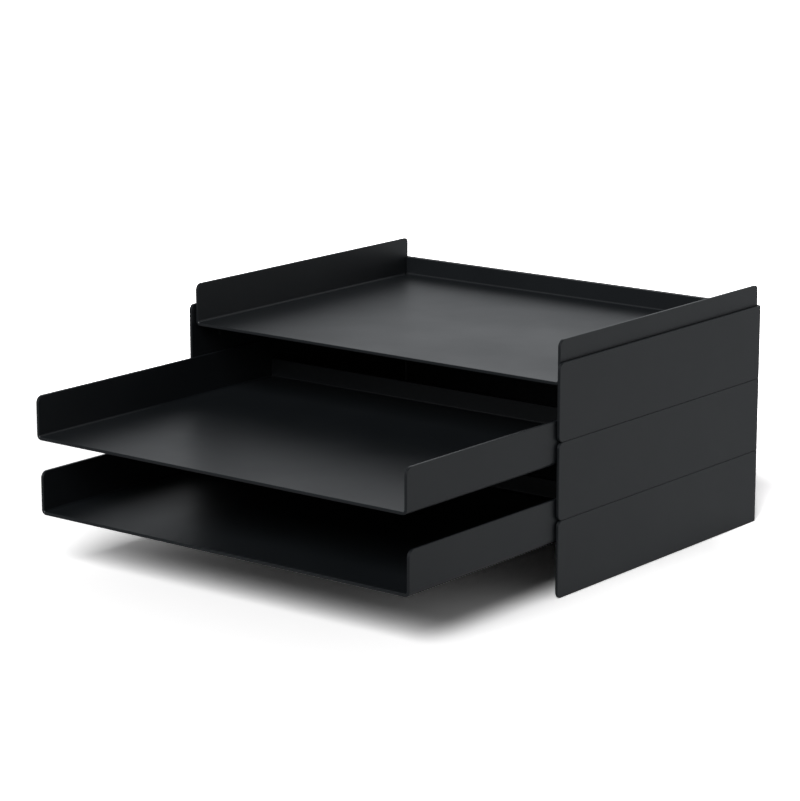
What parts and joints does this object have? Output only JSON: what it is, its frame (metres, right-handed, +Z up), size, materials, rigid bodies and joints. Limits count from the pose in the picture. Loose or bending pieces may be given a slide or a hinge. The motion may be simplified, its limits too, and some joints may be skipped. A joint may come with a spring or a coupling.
{
  "type": "stack of letter trays",
  "caption": "Stackable letter trays in black folded sheet steel; each tray slides forward on runners inside its own housing, and the housings stand one on another.",
  "frame": {"origin": "on the table, midway across the stack and midway between the front of the furthest drawn tray and the back of the housings, as it stands at rest", "axes": "+X to the right seen from the front, +Y from the open front to the closed back, +Z up"},
  "size_m": [0.33, 0.416, 0.177],
  "materials": {
    "painted_steel": "satin powder coat, near black, fine texture",
    "nylon": "plain moulded, black"
  },
  "bodies": {
    "lower_frame": {"lower_housing": "painted_steel", "lower_runner_left": "painted_steel", "lower_runner_right": "painted_steel", "lower_glide_left": "nylon", "lower_glide_right": "nylon"},
    "lower_slider": {"lower_tray": "painted_steel", "lower_keeper_left": "painted_steel", "lower_keeper_right": "painted_steel"},
    "middle_frame": {"middle_housing": "painted_steel", "middle_runner_left": "painted_steel", "middle_runner_right": "painted_steel", "middle_glide_left": "nylon", "middle_glide_right": "nylon"},
    "middle_slider": {"middle_tray": "painted_steel", "middle_keeper_left": "painted_steel", "middle_keeper_right": "painted_steel"},
    "upper_frame": {"upper_housing": "painted_steel", "upper_runner_left": "painted_steel", "upper_runner_right": "painted_steel", "upper_glide_left": "nylon", "upper_glide_right": "nylon"},
    "upper_slider": {"upper_tray": "painted_steel", "upper_keeper_left": "painted_steel", "upper_keeper_right": "painted_steel"}
  },
  "joints": [
    {"name": "lower_tray_slide", "type": "slide", "parent": "lower_frame", "child": "lower_slider", "axis": [0, -1, 0], "range_m": [-0.1624, 0.0118]},
    {"name": "middle_tray_slide", "type": "slide", "parent": "middle_frame", "child": "middle_slider", "axis": [0, -1, 0], "range_m": [-0.165, 0.0092]},
    {"name": "upper_tray_slide", "type": "slide", "parent": "upper_frame", "child": "upper_slider", "axis": [0, -1, 0], "range_m": [0, 0.1742]},
    {"name": "middle_tier_lift", "type": "slide", "parent": "lower_frame", "child": "middle_frame", "axis": [0, 0, 1], "range_m": [0, 0.08]},
    {"name": "upper_tier_lift", "type": "slide", "parent": "middle_frame", "child": "upper_frame", "axis": [0, 0, 1], "range_m": [0, 0.08]}
  ]
}
